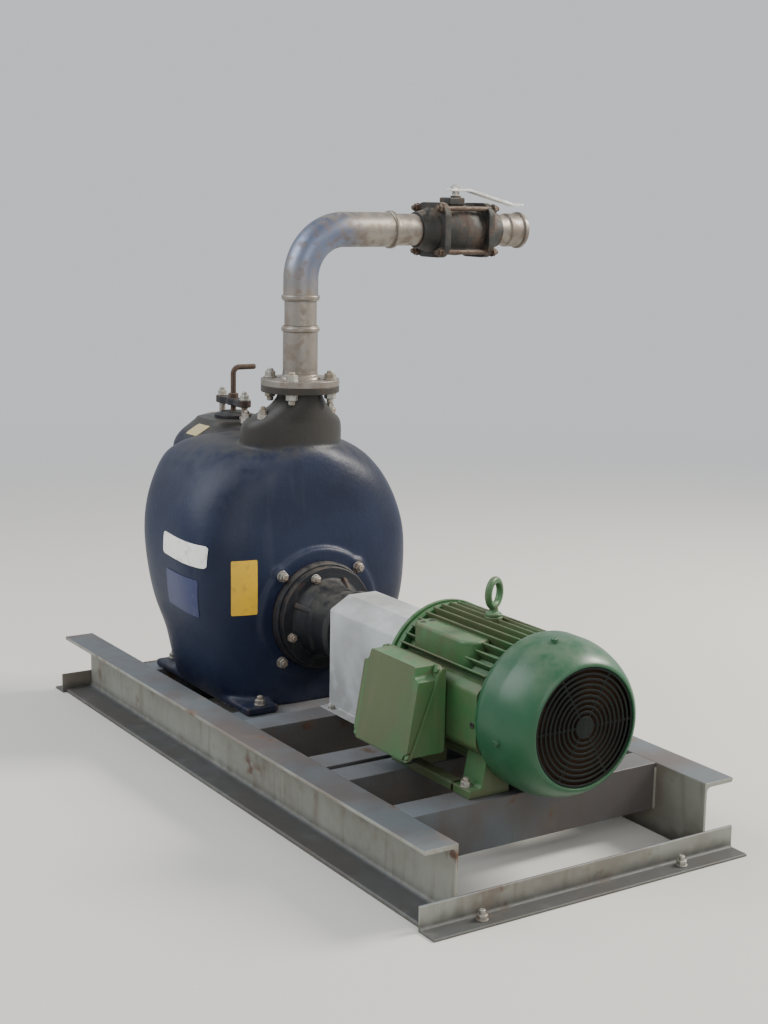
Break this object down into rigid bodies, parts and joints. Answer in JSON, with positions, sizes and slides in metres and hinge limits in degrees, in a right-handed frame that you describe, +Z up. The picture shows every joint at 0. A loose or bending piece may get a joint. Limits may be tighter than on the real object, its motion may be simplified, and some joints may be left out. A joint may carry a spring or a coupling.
{
  "type": "self-priming centrifugal pump set",
  "caption": "Skid-mounted self-priming pump with a finned motor, guarded coupling, clamped priming port, riser elbow and lever ball valve.",
  "frame": {"origin": "on the floor, under the middle of the set's footprint box", "axes": "+Z up; +X along the shaft from the pump to the motor; +Y across the skid, the way the header runs"},
  "size_m": [1.7506, 1.025, 1.314],
  "materials": {
    "skid_steel": "worn grey paint with rust",
    "pump_paint": "satin navy enamel",
    "black_iron": "dull black paint",
    "guard_paint": "light grey paint",
    "motor_paint": "satin green enamel",
    "grille_wire": "black wire rings",
    "gland_plastic": "moulded",
    "bare_steel": "bright, lightly stained",
    "stainless_pipe": "dull stainless",
    "valve_iron": "rusted"
  },
  "bodies": {
    "root": {"channel_near": "skid_steel", "channel_far": "skid_steel", "end_angle_front": "skid_steel", "end_angle_rear": "skid_steel", "pump_bearer_rear": "skid_steel", "pump_bearer_front": "skid_steel", "cross_angle_guard": "skid_steel", "cross_angle_middle": "skid_steel", "cross_angle_motor_front": "skid_steel", "cross_angle_motor_rear": "skid_steel", "pump_casing": "pump_paint", "suction_flange": "stainless_pipe", "cover_plate": "pump_paint", "fill_cover": "black_iron", "clamp_bar": "black_iron", "clamp_screw": "bare_steel", "seal_plate": "black_iron", "bearing_housing": "black_iron", "pump_shaft": "bare_steel", "coupling_pump_half": "black_iron", "coupling_motor_half": "black_iron", "motor_shaft": "bare_steel", "coupling_guard": "guard_paint", "motor_frame": "motor_paint", "motor_foot_front_near": "motor_paint", "motor_foot_front_far": "motor_paint", "motor_foot_rear_near": "motor_paint", "motor_foot_rear_far": "motor_paint", "drive_end_shield": "motor_paint", "fan_cowl": "motor_paint", "fan_grille": "grille_wire", "terminal_box": "motor_paint", "terminal_box_lid": "motor_paint", "cable_gland": "gland_plastic", "eyebolt": "motor_paint", "discharge_flange": "stainless_pipe", "riser_tube": "stainless_pipe", "elbow": "stainless_pipe", "header_tube_near": "stainless_pipe", "valve_cap_near": "valve_iron", "valve_cap_far": "valve_iron", "valve_body": "valve_iron", "header_socket": "stainless_pipe"},
    "valve_handle": {"valve_stem": "bare_steel", "valve_lever": "bare_steel"}
  },
  "joints": [
    {"name": "valve_handle_turn", "type": "hinge", "parent": "root", "child": "valve_handle", "pos_m": [-0.273, 0.3075, 1.298], "axis": [0, 0, -1], "range_deg": [0, 90]}
  ]
}
